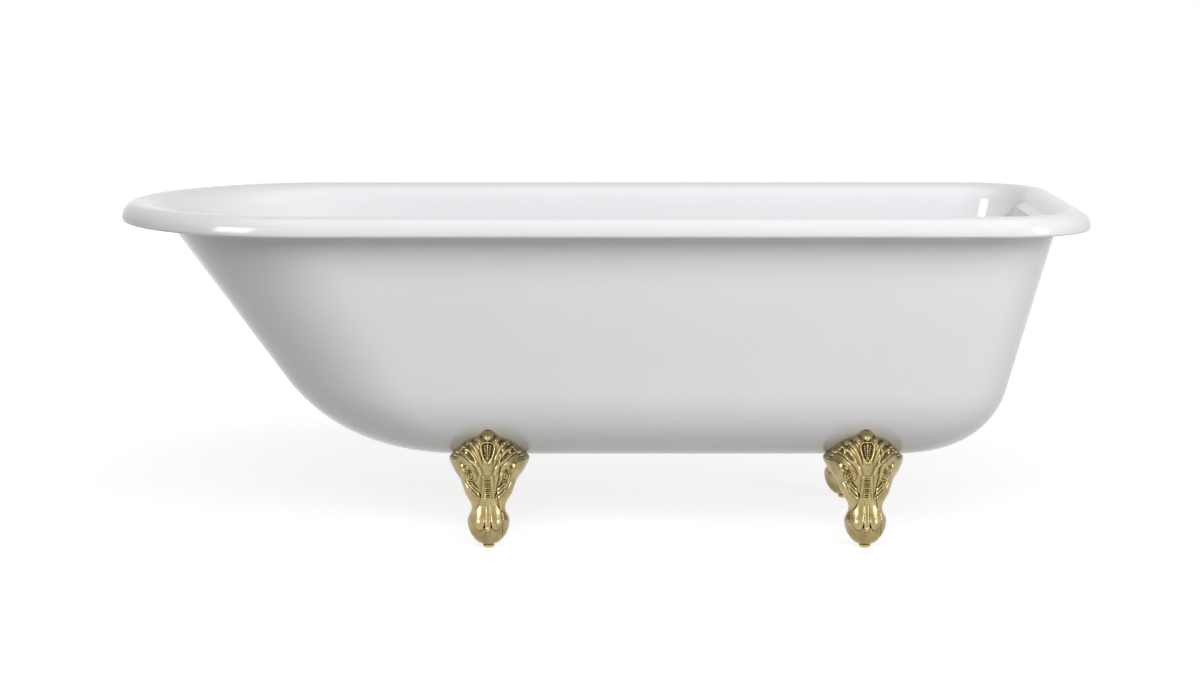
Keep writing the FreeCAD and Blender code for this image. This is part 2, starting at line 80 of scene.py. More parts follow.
def wall_reach(end, height, depth):
    """How far the wall stands out from the middle at a height; depth is measured into the metal."""
    slope, bend = WALLS[end]["slope"], WALLS[end]["bend"]
    top_of_wall = WALLS[end]["edge"] - WALLS[end]["overhang"]
    foot_of_wall = top_of_wall - (WALL_TOP - FLOOR_UNDER) * math.tan(slope)
    bend_centre = foot_of_wall - bend * math.tan(math.pi / 4 - slope / 2)
    bend_height, bend_radius = FLOOR_UNDER + bend, bend - depth
    if height >= bend_height - bend_radius * math.sin(slope):
        return top_of_wall - (WALL_TOP - height) * math.tan(slope) - depth / math.cos(slope)
    drop = min(bend_height - height, bend_radius)
    return bend_centre + math.sqrt(bend_radius ** 2 - drop ** 2)


def wall_corner(half_width):
    """Radius of the tap corners, smaller low down."""
    overhang = WALLS["side"]["overhang"]
    top_corner, top_half = RIM_CORNER - overhang, HALF_WIDTH - overhang
    share = (top_half - half_width) / (top_half - wall_reach("side", FLOOR_UNDER, 0))
    return top_corner + (BOTTOM_CORNER - top_corner) * share


def straight(start, end, steps):
    """Points from start towards end, without the end itself."""
    return [(start[0] + (end[0] - start[0]) * share, start[1] + (end[1] - start[1]) * share)
            for share in np.linspace(0, 1, steps, endpoint=False)]


def arc(centre, radius, start, end, steps):
    """Points on an arc from one bearing to another, in degrees, without the last one."""
    turns = [math.radians(angle) for angle in np.linspace(start, end, steps, endpoint=False)]
    return [(centre[0] + radius * math.cos(turn), centre[1] + radius * math.sin(turn)) for turn in turns]


def outline(head, tap, half_width, corner, height):
    """Points round the bath at one height: half round at the head, rounded corners at the taps."""
    x_round, x_corner, y_corner = half_width - head, tap - corner, half_width - corner
    points = straight((x_round, -half_width), (x_corner, -half_width), STRAIGHT_STEPS)
    points += arc((x_corner, -y_corner), corner, -90, 0, CORNER_STEPS)
    points += straight((tap, -y_corner), (tap, y_corner), END_STEPS)
    points += arc((x_corner, y_corner), corner, 0, 90, CORNER_STEPS)
    points += straight((x_corner, half_width), (x_round, half_width), STRAIGHT_STEPS)
    points += arc((x_round, 0), half_width, 90, 270, HEAD_STEPS)
    return [(x, y, height) for x, y in points]


def tap_panel(points):
    """Raise the arched panel inside the tap end, where the fittings are drilled."""
    raised = []
    for x, y, z in points:
        across = max(abs(y) - (PANEL_HALF_WIDTH - PANEL_CORNER), 0.0)
        up = max(z - (PANEL_TOP - PANEL_CORNER), 0.0)
        inside = PANEL_CORNER - math.hypot(across, up)
        low_fade = min(max((z - PANEL_FADE_START) / PANEL_FADE_HEIGHT, 0.0), 1.0)
        share = min(max(inside / PANEL_BEVEL, 0.0), 1.0) * low_fade
        rise = PANEL_RISE * share * share * (3 - 2 * share)
        rise += PANEL_BEAD * low_fade * math.exp(-((inside - PANEL_BEVEL) / PANEL_BEAD_WIDTH) ** 2)
        raised.append((x - rise if x > 0 else x, y, z))
    return raised


def wall_outline(height, depth):
    half_width = wall_reach("side", height, depth)
    return outline(wall_reach("head", height, depth), wall_reach("tap", height, depth),
                   half_width, wall_corner(half_width), height)


def roll_outline(turn, depth, crest_height):
    """Outline of the inward roll: turn 0 on the wall, 1 on the crest, tangent to both."""
    height = crest_height - (crest_height - ROLL_START) * (1 - turn) ** 2
    reach = {}
    for end, wall in WALLS.items():
        reach[end] = ((1 - turn) ** 2 * wall_reach(end, ROLL_START, depth)
                      + 2 * turn * (1 - turn) * wall_reach(end, crest_height, depth)
                      + turn ** 2 * (wall["edge"] - CREST_INNER))
    low_corner = wall_corner(wall_reach("side", ROLL_START, depth))
    corner = low_corner + (RIM_CORNER - CREST_INNER - low_corner) * turn
    return outline(reach["head"], reach["tap"], reach["side"], corner, height)


def rim_outline(inset, height):
    return outline(HALF_LENGTH - inset, HALF_LENGTH - inset, HALF_WIDTH - inset, RIM_CORNER - inset, height)


def skin_outlines(depth, crest_height):
    """Outlines of one skin of the wall, from the floor up to the crest."""
    slope, bend = WALLS["side"]["slope"], WALLS["side"]["bend"] - depth
    rings = []
    for angle in np.linspace(0, math.pi / 2 - slope, BEND_STEPS + 1):
        rings.append(wall_outline(FLOOR_UNDER + depth + bend * (1 - math.cos(angle)), depth))
    low = rings[-1][0][2]
    for height in np.linspace(low, ROLL_START, WALL_STEPS + 1)[1:]:
        rings.append(wall_outline(height, depth))
    for turn in np.linspace(0, 1, ROLL_STEPS + 1)[1:]:
        rings.append(roll_outline(turn, depth, crest_height))
    return rings


def shell_outlines():
    """All outlines in order: outside wall up, under the rim and out over its lip, inside wall down."""
    rings = skin_outlines(0, RIM_TOP - GAUGE)
    quarter = np.linspace(0, math.pi / 2, RIM_STEPS + 1)
    wide, tall = CREST_OUTER, RIM_TOP - LIP
    for angle in quarter:
        inset = wide - (wide - GAUGE) * math.sin(angle)
        rings.append(rim_outline(inset, LIP + (tall - GAUGE) * math.cos(angle)))
    rings.append(rim_outline(GAUGE, WALL_TOP + LIP_CHAMFER))
    drop = LIP - WALL_TOP
    for angle in np.linspace(0, math.pi / 2, LIP_STEPS + 1):
        rings.append(rim_outline(LIP_ROUND * (1 - math.sin(angle)), LIP - drop * math.cos(angle)))
    for angle in quarter[1:]:
        rings.append(rim_outline(wide * (1 - math.cos(angle)), LIP + tall * math.sin(angle)))
    inside = [tap_panel(ring) for ring in skin_outlines(GAUGE, RIM_TOP)]
    return rings + inside[::-1]


# ---------------------------------------------------------------- mesh helpers
ROUND_STEPS, SMALL_ROUND_STEPS = 96, 48       # points round a cylinder, and round a thin one


def mesh_object(name, vertices, faces):
    mesh = bpy.data.meshes.new(name)
    mesh.from_pydata([tuple(v) for v in vertices], [], faces)
    mesh.update()
    piece = bpy.data.objects.new(name, mesh)
    bpy.context.scene.collection.objects.link(piece)
    return piece


def ring_mesh(name, rings):
    """Closed mesh through rings of equally many points, with a flat face at each end."""
    count, faces = len(rings[0]), []
    for ring in range(len(rings) - 1):
        low = ring * count
        high = low + count
        for index in range(count):
            after = (index + 1) % count
            faces.append((low + index, low + after, high + after, high + index))
    last = (len(rings) - 1) * count
    faces += [tuple(range(count))[::-1], tuple(range(last, last + count))]
    return mesh_object(name, [point for ring in rings for point in ring], faces)


def shade_smooth(piece, angle):
    """Smooth shading, with hard edges where faces meet at more than the angle."""
    piece.data.shade_smooth()
    piece.data.set_sharp_from_angle(angle=math.radians(angle))


def apply_modifiers(piece):
    """Replace the mesh by its modified form."""
    graph = bpy.context.evaluated_depsgraph_get()
    result = bpy.data.meshes.new_from_object(piece.evaluated_get(graph))
    piece.modifiers.clear()
    old = piece.data
    piece.data = result
    bpy.data.meshes.remove(old)


def cylinder(name, radius, start, axis, length, steps=ROUND_STEPS):
    """Closed cylinder from start along a unit axis."""
    across = axis.orthogonal().normalized()
    beside = axis.cross(across)
    rings = [[], []]
    for ring, along in zip(rings, (0, length)):
        for step in range(steps):
            turn = 2 * math.pi * step / steps
            spoke = across * math.cos(turn) + beside * math.sin(turn)
            ring.append(start + axis * along + spoke * radius)
    return ring_mesh(name, rings)


def boolean(piece, tools, operation):
    """Cut or join tools, then delete them."""
    for tool in tools:
        modifier = piece.modifiers.new("boolean", "BOOLEAN")
        modifier.object, modifier.operation, modifier.solver = tool, operation, "EXACT"
    apply_modifiers(piece)
    for tool in tools:
        bpy.data.objects.remove(tool)


# ---------------------------------------------------------------- materials
def node_material(name):
    material = bpy.data.materials.new(name)
    material.use_nodes = True
    nodes, links = material.node_tree.nodes, material.node_tree.links
    shader = nodes["Principled BSDF"]
    return material, nodes, links, shader


def grey(level):
    return level, level, level


def noise(nodes, links, scale, detail, coordinates):
    node = nodes.new("ShaderNodeTexNoise")
    node.inputs["Scale"].default_value = scale
    node.inputs["Detail"].default_value = detail
    links.new(coordinates, node.inputs["Vector"])
    return node.outputs["Fac"]


def ramp(nodes, links, value, stops):
    """Colour ramp: stops are (position, colour)."""
    node = nodes.new("ShaderNodeValToRGB")
    elements = node.color_ramp.elements
    while len(elements) < len(stops):
        elements.new(0.5)
    for element, (position, colour) in zip(elements, stops):
        element.position = position
        element.color = (*colour, 1.0)
    links.new(value, node.inputs["Fac"])
    return node.outputs["Color"]


def bump(nodes, links, height, distance, strength, normal=None):
    node = nodes.new("ShaderNodeBump")
    node.inputs["Strength"].default_value = strength
    node.inputs["Distance"].default_value = distance
    links.new(height, node.inputs["Height"])
    if normal is not None:
        links.new(normal, node.inputs["Normal"])
    return node.outputs["Normal"]


def object_coordinates(nodes):
    return nodes.new("ShaderNodeTexCoord").outputs["Object"]


def enamel_material():
    """Fired porcelain enamel: white, glossy, with the faint waves that the iron under it gives."""
    material, nodes, links, shader = node_material("enamel")
    place = object_coordinates(nodes)
    tint = ramp(nodes, links, noise(nodes, links, 2.2, 3.0, place),
                [(0.30, (0.865, 0.871, 0.888)), (0.70, (0.890, 0.896, 0.910))])
    links.new(tint, shader.inputs["Base Color"])
    gloss = ramp(nodes, links, noise(nodes, links, 9.0, 4.0, place), [(0.30, grey(0.10)), (0.75, grey(0.16))])
    links.new(gloss, shader.inputs["Roughness"])
    waves = bump(nodes, links, noise(nodes, links, 16.0, 2.0, place), 0.0006, 0.25)
    skin = bump(nodes, links, noise(nodes, links, 420.0, 2.0, place), 0.00002, 0.5, waves)
    links.new(skin, shader.inputs["Normal"])
    shader.inputs["IOR"].default_value = 1.52
    return material


PATINA_AND_SHADE_STOPS = [(0.0, grey(1.0)), (0.5, (0.86, 0.84, 0.80)),       # from high ridges to deep hollows: painted shade, partly patina
                (0.72, (0.46, 0.40, 0.31)), (1.0, (0.16, 0.13, 0.09))]


def brass_material(name, polished, aged, grain, carved=False):
    """Brass with colour drift and fine casting or turning marks; carved brass gets painted shade in its
    hollows and under the ball, partly standing for patina.
    """
    material, nodes, links, shader = node_material(name)
    place = object_coordinates(nodes)
    colour = ramp(nodes, links, noise(nodes, links, 38.0, 5.0, place), [(0.30, aged), (0.66, polished)])
    # Carved brass: painted shade, partly patina, multiplied into the colour from each point's level
    if carved:
        patina_and_shade = nodes.new("ShaderNodeAttribute")
        patina_and_shade.attribute_name = "patina_and_shade"
        shade = ramp(nodes, links, patina_and_shade.outputs["Fac"], PATINA_AND_SHADE_STOPS)
        mix = nodes.new("ShaderNodeMix")
        mix.data_type, mix.blend_type = "RGBA", "MULTIPLY"
        mix.inputs["Factor"].default_value = 1.0
        links.new(colour, mix.inputs["A"])
        links.new(shade, mix.inputs["B"])
        colour = mix.outputs["Result"]
    links.new(colour, shader.inputs["Base Color"])
    gloss = ramp(nodes, links, noise(nodes, links, 120.0, 4.0, place),
                 [(0.25, grey(0.16)), (0.80, grey(0.31))])
    links.new(gloss, shader.inputs["Roughness"])
    marks = bump(nodes, links, noise(nodes, links, grain, 3.0, place), 0.0003, 0.35)
    links.new(marks, shader.inputs["Normal"])
    shader.inputs["Metallic"].default_value = 1.0
    return material


def steel_material():
    """Zinc-plated steel of the hidden fixings."""
    material, nodes, links, shader = node_material("fixing_steel")
    place = object_coordinates(nodes)
    colour = ramp(nodes, links, noise(nodes, links, 90.0, 4.0, place),
                  [(0.30, (0.42, 0.42, 0.43)), (0.70, (0.60, 0.60, 0.61))])
    links.new(colour, shader.inputs["Base Color"])
    marks = bump(nodes, links, noise(nodes, links, 900.0, 2.0, place), 0.0001, 0.3)
    links.new(marks, shader.inputs["Normal"])
    shader.inputs["Metallic"].default_value = 1.0
    shader.inputs["Roughness"].default_value = 0.38
    return material


SLOT_MATERIALS = {
    "enamel": enamel_material(),
    "foot_brass": brass_material("foot_brass", (0.56, 0.465, 0.245), (0.35, 0.285, 0.14), 900.0, carved=True),
    "glide_brass": brass_material("glide_brass", (0.62, 0.52, 0.27), (0.46, 0.37, 0.17), 1400.0),
    "fixing_steel": steel_material(),
}


def dress(piece, material):
    piece.data.materials.clear()
    piece.data.materials.append(material)


for part in RECORD["subparts"]:
    dress(frame["nodes"][part["node"]], SLOT_MATERIALS[part["material_slot"]])


# ---------------------------------------------------------------- enamelled shell
WASTE_X, WASTE_RADIUS, SEAT_RADIUS, SEAT_DEPTH, BOSS_DROP = 0.5245, 0.026, 0.040, 0.003, 0.007
OVERFLOW_Z, OVERFLOW_RADIUS, PAD_RADIUS, PAD_RISE = 0.520, 0.030, 0.048, 0.005
LUG_Y, LUG_RADIUS, LUG_FACE, LUG_STEPS = 0.140, 0.018, 0.146, 64
STUD_RADIUS, STUD_CLEARANCE, STUD_HOLE_LENGTH = 0.006, 0.00005, 0.013
CUT_START = 0.001                             # a blind cut begins this far outside its face
OVERFLOW_CUT, WASTE_CUT = 0.04, 0.02          # how far the through cuts reach both ways
UP = Vector((0, 0, 1))
LUGS = [(screw_x, lug_y) for screw_x in SCREW_X.values() for lug_y in (-LUG_Y, LUG_Y)]


def lug_blank(centre_x, centre_y):
    """Round lug from its bolting face up into the metal of the bath's bottom."""
    bend = WALLS["side"]["bend"]
    flat = wall_reach("side", FLOOR_UNDER, 0)
    low, high = [], []
    for turn in np.linspace(0, 2 * math.pi, LUG_STEPS, endpoint=False):
        x, y = centre_x + LUG_RADIUS * math.cos(turn), centre_y + LUG_RADIUS * math.sin(turn)
        rise = bend - math.sqrt(bend ** 2 - max(abs(y) - flat, 0) ** 2)
        low.append((x, y, LUG_FACE))
        high.append((x, y, FLOOR_UNDER + rise + GAUGE / 2))
    return ring_mesh("lug", [low, high])


def build_shell():
    """The bath in one piece, with its foot lugs, waste, and overflow square to the tap wall."""
    shell = ring_mesh("bath_shell", shell_outlines())
    lean = WALLS["tap"]["slope"]
    axis = Vector((math.cos(lean), 0, -math.sin(lean)))
    centre = Vector((wall_reach("tap", OVERFLOW_Z, 0), 0, OVERFLOW_Z))
    floor = Vector((WASTE_X, 0, FLOOR_UNDER))
    added = [
        cylinder("pad", PAD_RADIUS, centre - axis * (GAUGE + PAD_RISE), axis, GAUGE / 2 + PAD_RISE),
        cylinder("boss", SEAT_RADIUS + GAUGE, floor - UP * BOSS_DROP, UP, BOSS_DROP + GAUGE / 2),
    ]
    added += [lug_blank(x, y) for x, y in LUGS]
    boolean(shell, added, "UNION")
    removed = []
    for x, y in LUGS:
        start = Vector((x, y, LUG_FACE - CUT_START))
        removed.append(cylinder("stud_hole", STUD_RADIUS + STUD_CLEARANCE, start, UP, STUD_HOLE_LENGTH,
                                SMALL_ROUND_STEPS))
    removed += [
        cylinder("overflow", OVERFLOW_RADIUS, centre - axis * OVERFLOW_CUT, axis, 2 * OVERFLOW_CUT),
        cylinder("waste", WASTE_RADIUS, floor - UP * WASTE_CUT, UP, 2 * WASTE_CUT),
        cylinder("seat", SEAT_RADIUS, floor + UP * (GAUGE - SEAT_DEPTH), UP, WASTE_CUT),
    ]
    boolean(shell, removed, "DIFFERENCE")
    shade_smooth(shell, 35.0)
    dress(shell, SLOT_MATERIALS["enamel"])
    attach(shell, "bath")
    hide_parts("tub_shell")


build_shell()


# ---------------------------------------------------------------- ball-and-claw feet
# Stations of the casting above the floor, in millimetres: height, half width across, reach of the
# front outwards from the screw axis, place of the widest line and reach of the back, both inwards.
LEG = np.array([
    (7.3, 12.0, 12.0, 0.0, 12.0), (10.8, 20.0, 20.0, 0.0, 20.0), (16.5, 26.4, 26.0, 0.0, 26.0),
    (22.3, 30.6, 30.0, 0.0, 30.0), (28.0, 34.2, 33.0, 0.0, 33.0), (39.5, 38.4, 36.5, 0.0, 36.5),
    (51.0, 39.8, 37.5, 0.0, 37.0), (57.0, 38.8, 36.0, 0.0, 35.5), (63.0, 35.6, 32.5, 0.0, 31.0),
    (70.0, 32.2, 28.5, 0.0, 26.0), (77.0, 31.4, 26.0, 0.0, 26.0), (84.0, 33.0, 25.0, 1.0, 31.0),
    (92.0, 37.5, 25.0, 2.0, 37.0), (102.0, 44.0, 26.0, 6.0, 48.0), (114.0, 48.5, 29.0, 12.0, 62.0),
    (127.0, 54.0, 31.0, 25.0, 78.0), (140.0, 66.0, 33.0, 45.0, 96.0), (155.0, 75.4, 35.0, 62.0, 114.0),
    (161.5, 75.8, 35.0, 61.0, 115.0), (165.0, 73.5, 34.5, 58.0, 116.0), (172.0, 66.5, 33.5, 50.0, 114.0),
    (180.0, 60.0, 32.0, 38.0, 107.0), (190.0, 51.5, 29.5, 24.0, 98.0), (198.0, 44.0, 26.0, 14.0, 88.0),
    (203.0, 35.0, 24.5, 8.0, 81.0), (208.0, 20.5, 22.5, 4.0, 74.0), (216.0, 13.5, 18.0, 0.0, 60.0),
    (221.0, 9.5, 11.5, -1.5, 46.0), (224.0, 4.5, 5.0, -2.5, 40.0)])
ROW_STEP, FRONT_COLUMNS, BACK_COLUMNS = 0.8, 208, 64
FINE_STEP, SMOOTH_REACH, SMOOTH_SPREAD = 0.25, 16, 8.0       # smoothing of the stations, in fine steps
VIEW_SLOPE = 0.19                 # carving is drawn on the front as seen from a little above
WALL_CLEARANCE = 0.3
BLUR_SIZE, HOLLOW_SHADE, UNDER_SHADE = 4, 0.42, 0.12         # painted shade in the hollows, partly standing for patina, and painted shade under the ball

# Inside of the casting, in millimetres; the gap keeps the flange's faces off the hollows' faces.
CAST_WALL, HOLLOW_BOTTOM, HOLLOW_TOP, HOLLOW_RINGS, HOLLOW_STEPS = 8.0, 102.0, 204.0, 12, 72
FLANGE_THICK, FLANGE_GAP = 10.0, 0.02
FLANGE_OUTLINE = [(-24, -30), (24, -30), (24, 14), (14, 22), (-14, 22), (-24, 14)]      # from the bolt

# Holes of the casting, in metres: radius, start above the floor, length.
BOLT_HOLE = (0.0065, 0.12, 0.05)
SCREW_BORE = (0.00508, 0.005, 0.0343)


def smoothstep(low, high, value):
    share = np.clip((value - low) / (high - low), 0, 1)
    return share * share * (3 - 2 * share)


def band(low, high, soft, value):
    """1 between low and high, fading over soft on both sides."""
    return smoothstep(low - soft, low + soft, value) * (1 - smoothstep(high - soft, high + soft, value))


def line_distance(x, h, points):
    """Distance to a run of straight pieces, and how far along it the nearest place lies, 0 to 1."""
    nearest, place = np.full(x.shape, np.inf), np.zeros(x.shape)
    for index in range(len(points) - 1):
        (ax, ah), (bx, bh) = points[index], points[index + 1]
        run_x, run_h = bx - ax, bh - ah
        share = np.clip(((x - ax) * run_x + (h - ah) * run_h) / (run_x ** 2 + run_h ** 2), 0, 1)
        distance = np.hypot(x - ax - share * run_x, h - ah - share * run_h)
        closer = distance < nearest
        nearest = np.where(closer, distance, nearest)
        place = np.where(closer, (index + share) / (len(points) - 1), place)
    return nearest, place


def ridge(x, h, points, width, height, taper=0.0):
    """Rounded ridge, or a groove where height is negative, along a run of points."""
    distance, place = line_distance(x, h, points)
    return height * (1 - taper * place) * np.exp(-(distance / (width * (1 - 0.6 * taper * place))) ** 2)


def dome(x, h, centre_x, centre_h, radius, height):
    square = ((x - centre_x) ** 2 + (h - centre_h) ** 2) / radius ** 2
    return height * np.sqrt(np.clip(1 - square, 0, 1))


def volute(x, h, centre_x, centre_h, radius, pitch):
    """Raised scroll: a low dome with a spiral rib."""
    across, up = x - centre_x, h - centre_h
    distance, bearing = np.hypot(across, up), np.arctan2(up, across)
    rib = np.cos(2 * math.pi * (distance / pitch - bearing / (2 * math.pi)))
    inside = 1 - smoothstep(radius - 1.5, radius + 1.0, distance)
    return inside * (2.4 + 1.3 * rib)


def leaf(x, h, centre, lean, half_size, heights, vein_slant, pitch):
    """Leaning oval leaf; heights are those of its face and of the slanting veins on it."""
    across, up = x - centre[0] - lean * (h - centre[1]), h - centre[1]
    inside = 1 - smoothstep(0.7, 1.1, np.hypot(across / half_size[0], up / half_size[1]))
    veins = np.cos(2 * math.pi * (vein_slant[0] * x + vein_slant[1] * h) / pitch)
    return inside * (heights[0] + heights[1] * veins)


# The carving, in millimetres: places are given across from the middle and up from the floor.
FAN_FOOT = 125.0
RIB_BEARINGS = (0.0, 13.0, 24.0, 34.0, 43.0, 51.0, 59.0)        # ribs of the fan, degrees from upright
RIB_BOW, RIB_HEIGHT, RIB_SHARPNESS, FLUTE_DEPTH = 5.0, 2.8, 2.2, 1.0
EDGE_LOBES = [(17.0, 206.0, 4.2), (24.5, 204.5, 4.0), (32.0, 201.5, 4.4),       # place and radius
              (39.0, 197.5, 4.0), (45.5, 193.0, 4.4), (51.5, 188.0, 4.0),
              (57.5, 182.5, 4.2), (63.0, 177.5, 3.8), (68.5, 173.0, 3.2)]
BEAD_TOP, BEAD_END, BEAD_PITCH, BEAD_RADIUS = 194.0, 166.0, 4.4, 2.7
HOOD_FRAME = [(0.0, 199.5), (6.5, 198.5), (12.0, 193.5), (12.8, 185.0), (9.5, 173.0), (3.5, 160.0)]
SCROLL_ARM = [(40.0, 186.0), (41.0, 177.0), (34.0, 167.5), (24.0, 159.0), (17.0, 150.5), (13.5, 139.0)]
OUTER_ARM = [(50.0, 157.0), (45.5, 146.5), (37.0, 142.5)]
SPINE_SIDE = [(7.5, 133.0), (8.8, 112.0), (11.0, 95.0)]
SIDE_GROOVE = [(27.0, 122.0), (20.5, 114.0), (15.5, 104.0), (13.5, 95.0)]
PLATE_EDGE = [(11.0, 93.0), (17.5, 79.0), (27.5, 64.0)]
PLATE_HALF = ([30, 46, 58, 64, 79, 93], [27.0, 30.0, 29.5, 27.0, 17.0, 10.5])
TOE_GROOVE = [(6.4, 37.0), (5.4, 50.0), (4.6, 66.0), (4.2, 86.0)]
TOE_ENDS = ([0, 4, 6.5, 9, 15, 21, 27, 34], [29, 31, 41, 36, 32, 36, 46, 60])
CLAW = [(0.0, 36.0), (0.0, 24.0)]
MOULD_JOINT = [(21.5, 214.0), (24.6, 191.5), (26.5, 176.0), (24.6, 155.0), (21.3, 132.0), (15.8, 105.0),
               (18.5, 90.0), (23.5, 67.0), (28.7, 48.0), (26.8, 18.0)]


def fan_relief(side, h):
    """Curved flutes from the hub to the scalloped top edge, a lobe at each end, and plain ears outside."""
    reach = np.hypot(side, h - FAN_FOOT)
    bearing = np.degrees(np.arctan2(side, h - FAN_FOOT))
    bearing = bearing + RIB_BOW * np.sin((reach - 20) / 60 * math.pi) * smoothstep(4, 20, bearing)
    rib = np.interp(bearing, RIB_BEARINGS, range(len(RIB_BEARINGS)))
    spread = smoothstep(24, 60, reach) * (1 - smoothstep(44, 52, bearing))
    wave = 0.5 + 0.5 * np.cos(2 * math.pi * rib)
    relief = spread * (RIB_HEIGHT * wave ** RIB_SHARPNESS - FLUTE_DEPTH)
    for lobe_x, lobe_h, radius in EDGE_LOBES:
        relief += dome(side, h, lobe_x, lobe_h, 1.08 * radius, 0.9 * radius)
    return relief


def hood_relief(side, h):
    """Rounded hood over an arched frame, with a recess full of beads inside it."""
    recess_half = 10.5 * np.sqrt(np.clip((h - 161.0) / 32.0, 0.0, 1.0)) + 0.01
    recess = (1 - smoothstep(0.85, 1.05, side / recess_half)) * band(163, 197, 1.5, h)
    relief = dome(side, h, 0.0, 212.0, 10.0, 6.0) - 1.8 * recess + ridge(side, h, HOOD_FRAME, 1.8, 2.4)
    for row, bead_h in enumerate(np.arange(BEAD_TOP, BEAD_END, -BEAD_PITCH)):
        radius = BEAD_RADIUS - 0.17 * row
        relief += dome(side, h, 0.0, bead_h, radius, radius)
        relief += dome(side, h, 5.8 - 0.5 * row, bead_h - BEAD_PITCH / 2, 0.9 * radius, 0.9 * radius)
    return relief


def scroll_relief(side, h):
    """Scroll arms with their volutes, the ribbed spine between them and the leaves beside it."""
    relief = ridge(side, h, SCROLL_ARM, 3.1, 3.3) + ridge(side, h, OUTER_ARM, 2.3, 2.2)
    relief -= 1.6 * np.exp(-((side - 56) / 12) ** 2 - ((h - 162) / 8) ** 2)
    relief += volute(side, h, 31.0, 134.5, 10.0, 4.2) + volute(side, h, 41.0, 149.0, 5.5, 3.0)
    spine = band(93, 133, 3, h) * np.exp(-(side / 6.4) ** 4)
    relief += spine * (1.6 + 1.0 * np.cos(2 * math.pi * h / 3.6))
    relief += ridge(side, h, SPINE_SIDE, 2.0, 2.2) + ridge(side, h, SIDE_GROOVE, 1.5, -2.2)
    relief += leaf(side, h, (23.0, 106.0), 0.3, (9.5, 17.0), (1.5, 1.2), (0.74, -0.67), 5.4)
    return relief + leaf(side, h, (37.0, 115.0), 0.4, (6.0, 13.0), (0.8, 0.8), (0.9, -0.44), 5.0)


def toe_relief(side, h):
    """Smooth plate down the ankle that spreads in one piece into three toes gripping the ball."""
    toes = 1 - smoothstep(-2.5, 1.5, side - np.interp(h, *PLATE_HALF))
    toes *= smoothstep(-2.0, 3.0, h - np.interp(side, *TOE_ENDS)) * (1 - smoothstep(90, 96, h))
    middle_bow = 0.6 * np.cos(np.clip(side / 6.4, 0, 1) * math.pi / 2)
    side_bow = np.sin(np.clip((side - 6.4) / 20.0, 0, 1) * math.pi)
    ankle_fill = 1.5 * np.exp(-((h - 70) / 11) ** 2)
    relief = toes * (1.8 + ankle_fill + 1.7 * (middle_bow + side_bow) * (1 - smoothstep(48, 88, h)))
    relief += ridge(side, h, PLATE_EDGE, 1.6, 0.8) + ridge(side, h, TOE_GROOVE, 1.4, -1.8, 0.6)
    return relief + ridge(side, h, CLAW, 2.6, 2.0, 0.7)


def carving(x, h):
    """Height of the relief in millimetres at x across and h up, both as seen from the front."""
    side = np.abs(x)
    relief = fan_relief(side, h) + hood_relief(side, h) + scroll_relief(side, h) + toe_relief(side, h)
    return relief + ridge(x, h, MOULD_JOINT, 1.2, -1.8)


def blurred(grid, size):
    """Box blur along both ways of a grid whose rows run right round."""
    kernel = np.ones(2 * size + 1) / (2 * size + 1)
    padded = np.pad(grid, ((size, size), (0, 0)), "edge")
    rows = sum(padded[i:i + grid.shape[0]] * k for i, k in enumerate(kernel))
    return sum(np.roll(rows, i - size, 1) * k for i, k in enumerate(kernel))


def leg_sizes(heights):
    """Half width, front, widest and back at each height, drawn smooth through the stations."""
    fine = np.arange(LEG[0, 0], LEG[-1, 0] + FINE_STEP, FINE_STEP)
    weights = np.exp(-(np.arange(-SMOOTH_REACH, SMOOTH_REACH + 1) / SMOOTH_SPREAD) ** 2)
    share = smoothstep(14, 24, fine) * (1 - 0.8 * band(153, 170, 4, fine))     # less at the floor and ears
    sizes = []
    for column in LEG.T[1:]:
        values = np.interp(fine, LEG[:, 0], column)
        smooth = np.convolve(np.pad(values, SMOOTH_REACH, "edge"), weights / weights.sum(), "valid")
        sizes.append(np.interp(heights, fine, values + (smooth - values) * share))
    return sizes


def bath_surface(height):
    """Where the bath's outside begins, inwards from the screw axis, with a little clearance."""
    above = height + WALL_CLEARANCE
    if above <= FLOOR_UNDER / MM:
        return math.inf
    return -SCREW_Y["front"] / MM - wall_reach("side", above * MM, 0) / MM - WALL_CLEARANCE


def cast_foot_grid():
    """Carved outside of the casting as rings of points in its own frame, and the painted shade of each:
    darker in hollows and under the ball, partly standing for patina.

    The casting's back follows the bath's outside where the two meet.
    """
    heights = np.append(np.arange(LEG[0, 0], LEG[-1, 0], ROW_STEP), LEG[-1, 0])
    half_width, front, widest, back = [column[:, None] for column in leg_sizes(heights)]
    turns = np.concatenate([np.linspace(-90, 90, FRONT_COLUMNS, endpoint=False),
                            np.linspace(90, 270, BACK_COLUMNS, endpoint=False)])
    angle = np.radians(turns)[None, :]
    facing = np.cos(angle)
    depth = np.where(facing > 0, front + widest, back - widest)
    x, y = half_width * np.sin(angle), widest - depth * facing
    z = np.repeat(heights[:, None], len(turns), 1)
    outward = np.stack([x / half_width ** 2, (y - widest) / depth ** 2], -1)
    outward /= np.linalg.norm(outward, axis=-1, keepdims=True)
    relief = carving(x, z + VIEW_SLOPE * y) * smoothstep(-0.15, 0.45, facing)
    relief *= smoothstep(8, 16, z)
    x, y = x + relief * outward[..., 0], y + relief * outward[..., 1]
    y = np.minimum(y, np.array([bath_surface(height) for height in heights])[:, None])
    # Painted shade: hollows darker than the relief around them, ridges lighter; partly patina
    hollows = blurred(relief, BLUR_SIZE) - relief
    # Painted shade towards the floor, under the ball
    under = UNDER_SHADE * (1 - smoothstep(22, 48, z))
    dark = np.clip(0.5 + HOLLOW_SHADE * hollows + under, 0, 1)
    return np.stack([x, y, z], -1), dark


def loft(name, rings):
    """Closed mesh through rings of points in millimetres."""
    return ring_mesh(name, [[Vector(point) * MM for point in ring] for ring in rings])


